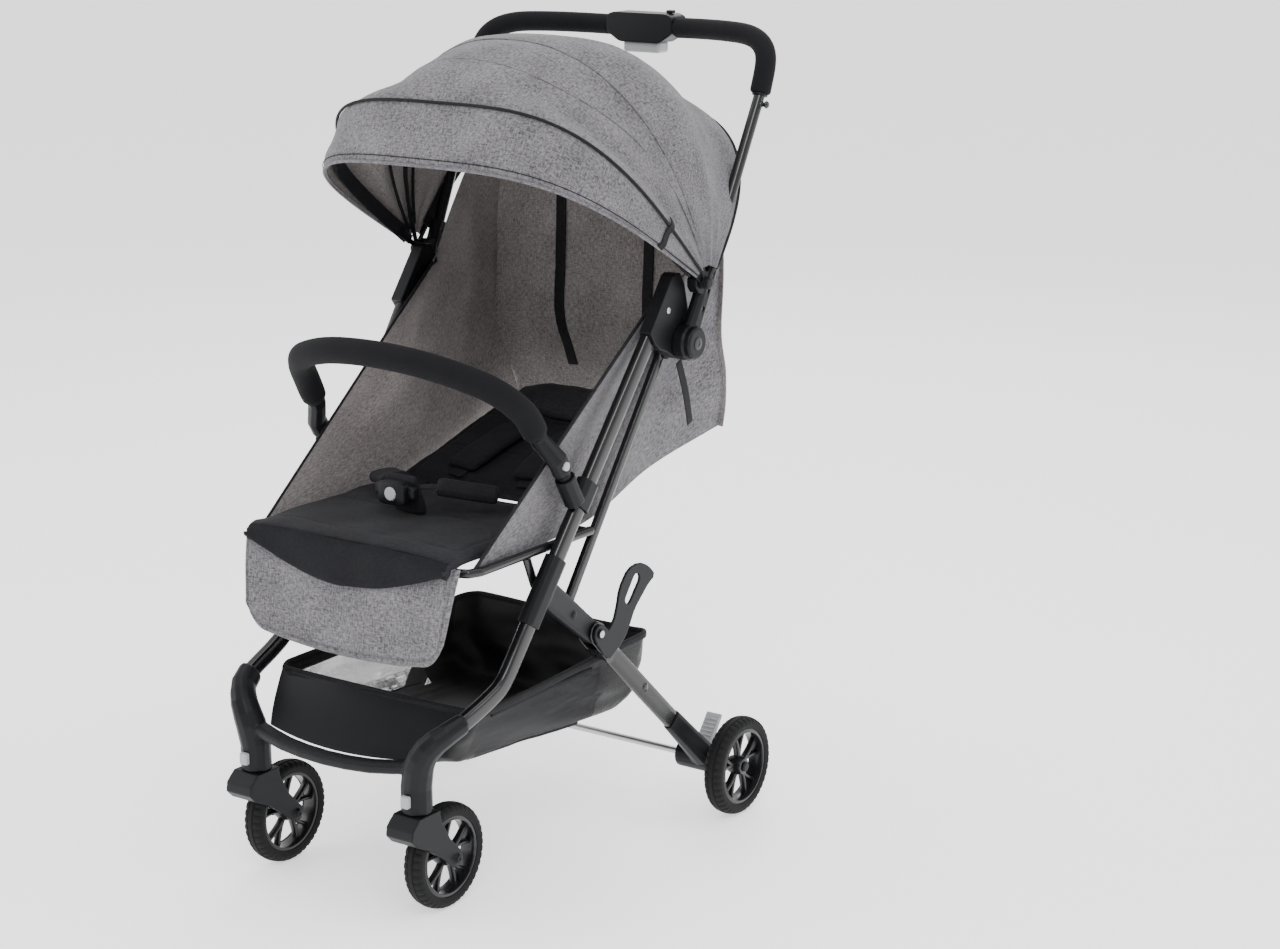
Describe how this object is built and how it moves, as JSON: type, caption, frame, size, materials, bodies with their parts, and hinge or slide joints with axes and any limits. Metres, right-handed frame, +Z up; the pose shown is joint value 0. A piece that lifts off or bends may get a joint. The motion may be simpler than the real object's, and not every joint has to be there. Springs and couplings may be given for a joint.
{
  "type": "travel system stroller",
  "caption": "folding pushchair with a reclining seat, segmented canopy, removable bumper bar, storage basket, swivelling front casters and a one-push fold",
  "frame": {"origin": "centre of the whole part's box in X and Y, on the floor under the tyres", "axes": "+X the stroller's left side, -Y the way it rolls forward, +Z up"},
  "size_m": [0.555, 0.7372, 1.0615],
  "materials": {
    "tube_black": "semi-gloss black",
    "plastic_black": "fine grain black",
    "plastic_grey": "light grey, satin",
    "foam_charcoal": "soft closed foam",
    "tyre_black": "ribbed tread, matte",
    "cloth_grey": "heather grey weave",
    "cloth_inner": "brownish grey weave",
    "cloth_black": "plain black weave"
  },
  "bodies": {
    "front_frame": {"front_tube_l": "tube_black", "front_tube_r": "tube_black", "y_connector_l": "plastic_black", "y_connector_r": "plastic_black", "top_bracket_l": "plastic_black", "top_bracket_r": "plastic_black", "front_casting": "plastic_black", "seat_frame": "tube_black", "seat_pad": "cloth_black", "side_panel_l": "cloth_grey", "side_panel_r": "cloth_grey", "basket": "cloth_black", "bumper_socket_l": "plastic_black", "bumper_socket_r": "plastic_black", "harness": "cloth_black", "calf_rest": "cloth_grey", "rear_curtain": "cloth_inner"},
    "caster_l": {"caster_fork_l": "plastic_black"},
    "caster_r": {"caster_fork_r": "plastic_black"},
    "front_wheel_l": {"front_tyre_l": "tyre_black", "front_rim_l": "plastic_black"},
    "front_wheel_r": {"front_tyre_r": "tyre_black", "front_rim_r": "plastic_black"},
    "lock_l": {"lock_slider_l": "plastic_grey"},
    "lock_r": {"lock_slider_r": "plastic_grey"},
    "legs": {"rear_leg_l": "tube_black", "rear_leg_r": "tube_black", "rear_bracket_l": "plastic_black", "rear_bracket_r": "plastic_black"},
    "rear_wheel_l": {"rear_tyre_l": "tyre_black", "rear_rim_l": "plastic_black"},
    "rear_wheel_r": {"rear_tyre_r": "tyre_black", "rear_rim_r": "plastic_black"},
    "brake": {"brake_rod": "tube_black", "brake_pedal": "plastic_grey"},
    "hook": {"latch_hook": "plastic_black"},
    "handle": {"handle_tube": "tube_black", "handle_socket_l": "plastic_black", "handle_socket_r": "plastic_black", "foam_grip_l": "foam_charcoal", "foam_grip_r": "foam_charcoal", "handle_housing": "plastic_black", "rear_bow": "tube_black", "canopy_top": "cloth_grey", "canopy_rear": "cloth_grey"},
    "links": {"link_tube_l": "tube_black", "link_tube_r": "tube_black"},
    "lever": {"squeeze_lever": "plastic_grey"},
    "slider": {"safety_slider": "plastic_black"},
    "front_bow": {"front_bow": "tube_black", "canopy_visor": "cloth_grey"},
    "mid_bow": {"mid_bow": "tube_black"},
    "bumper": {"bumper_bar": "foam_charcoal", "bumper_post_l": "plastic_black", "bumper_post_r": "plastic_black"},
    "button_l": {"bumper_button_l": "plastic_black"},
    "button_r": {"bumper_button_r": "plastic_black"},
    "back": {"backrest": "cloth_inner", "head_pad": "cloth_black"},
    "release": {"buckle_button": "plastic_grey"}
  },
  "joints": [
    {"name": "handle_fold", "type": "hinge", "parent": "front_frame", "child": "handle", "pos_m": [0, 0.12065, 0.66], "axis": [-1, 0, 0], "range_deg": [0, 138]},
    {"name": "link_fold", "type": "hinge", "parent": "handle", "child": "links", "pos_m": [0, 0.11665, 0.643], "axis": [-1, 0, 0], "range_deg": [-147.1, 0]},
    {"name": "leg_fold", "type": "hinge", "parent": "front_frame", "child": "legs", "pos_m": [0, -0.03745, 0.302], "axis": [-1, 0, 0], "range_deg": [0, 70.1]},
    {"name": "front_bow_fold", "type": "hinge", "parent": "handle", "child": "front_bow", "pos_m": [0, 0.13915, 0.7365], "axis": [-1, 0, 0], "range_deg": [0, 58], "deforming": ["canopy_visor", "canopy_top"]},
    {"name": "mid_bow_fold", "type": "hinge", "parent": "handle", "child": "mid_bow", "pos_m": [0, 0.13915, 0.7365], "axis": [-1, 0, 0], "range_deg": [0, 32.6], "deforming": ["canopy_rear"]},
    {"name": "bumper_slide", "type": "slide", "parent": "front_frame", "child": "bumper", "axis": [0, -0.5039, 0.8638], "range_m": [0, 0.1]},
    {"name": "bumper_button_press_l", "type": "slide", "parent": "bumper", "child": "button_l", "axis": [-1, 0, 0], "range_m": [0, 0.0025], "stiffness_N_per_m": 900},
    {"name": "bumper_button_press_r", "type": "slide", "parent": "bumper", "child": "button_r", "axis": [1, 0, 0], "range_m": [0, 0.0025], "stiffness_N_per_m": 900},
    {"name": "backrest_recline", "type": "hinge", "parent": "front_frame", "child": "back", "pos_m": [0, -0.03335, 0.4345], "axis": [1, 0, 0], "range_deg": [0, 45], "deforming": ["side_panel_l", "side_panel_r", "rear_curtain"]},
    {"name": "caster_swivel_l", "type": "hinge", "parent": "front_frame", "child": "caster_l", "pos_m": [0.132, -0.33335, 0.1412], "axis": [0, 0, 1], "continuous": true},
    {"name": "front_wheel_spin_l", "type": "hinge", "parent": "caster_l", "child": "front_wheel_l", "pos_m": [0.132, -0.28335, 0.0675], "axis": [1, 0, 0], "continuous": true},
    {"name": "rear_wheel_spin_l", "type": "hinge", "parent": "legs", "child": "rear_wheel_l", "pos_m": [0.262, 0.18915, 0.0675], "axis": [1, 0, 0], "continuous": true},
    {"name": "swivel_lock_l", "type": "slide", "parent": "front_frame", "child": "lock_l", "axis": [0, 0, 1], "range_m": [0, 0.006]},
    {"name": "caster_swivel_r", "type": "hinge", "parent": "front_frame", "child": "caster_r", "pos_m": [-0.132, -0.33335, 0.1412], "axis": [0, 0, 1], "continuous": true},
    {"name": "front_wheel_spin_r", "type": "hinge", "parent": "caster_r", "child": "front_wheel_r", "pos_m": [-0.132, -0.28335, 0.0675], "axis": [1, 0, 0], "continuous": true},
    {"name": "rear_wheel_spin_r", "type": "hinge", "parent": "legs", "child": "rear_wheel_r", "pos_m": [-0.262, 0.18915, 0.0675], "axis": [1, 0, 0], "continuous": true},
    {"name": "swivel_lock_r", "type": "slide", "parent": "front_frame", "child": "lock_r", "axis": [0, 0, 1], "range_m": [0, 0.006]},
    {"name": "brake_press", "type": "hinge", "parent": "legs", "child": "brake", "pos_m": [0, 0.18915, 0.0675], "axis": [-1, 0, 0], "range_deg": [0, 22]},
    {"name": "hook_swing", "type": "hinge", "parent": "front_frame", "child": "hook", "pos_m": [0, -0.03745, 0.302], "axis": [1, 0, 0], "range_deg": [0, 20], "stiffness_Nm_per_rad": 0.3, "springref_deg": -5.73},
    {"name": "lever_squeeze", "type": "slide", "parent": "handle", "child": "lever", "axis": [0, 0, 1], "range_m": [0, 0.008], "stiffness_N_per_m": 600},
    {"name": "safety_slide", "type": "slide", "parent": "handle", "child": "slider", "axis": [-1, 0, 0], "range_m": [0, 0.006]},
    {"name": "buckle_press", "type": "slide", "parent": "front_frame", "child": "release", "axis": [0, 1, 0], "range_m": [0, 0.002], "stiffness_N_per_m": 600}
  ],
  "couplings": [
    {"joint": "link_fold", "follows": "handle_fold", "ratio": -1.0654},
    {"joint": "leg_fold", "follows": "handle_fold", "ratio": 0.50725},
    {"joint": "mid_bow_fold", "follows": "front_bow_fold", "ratio": 0.56}
  ]
}
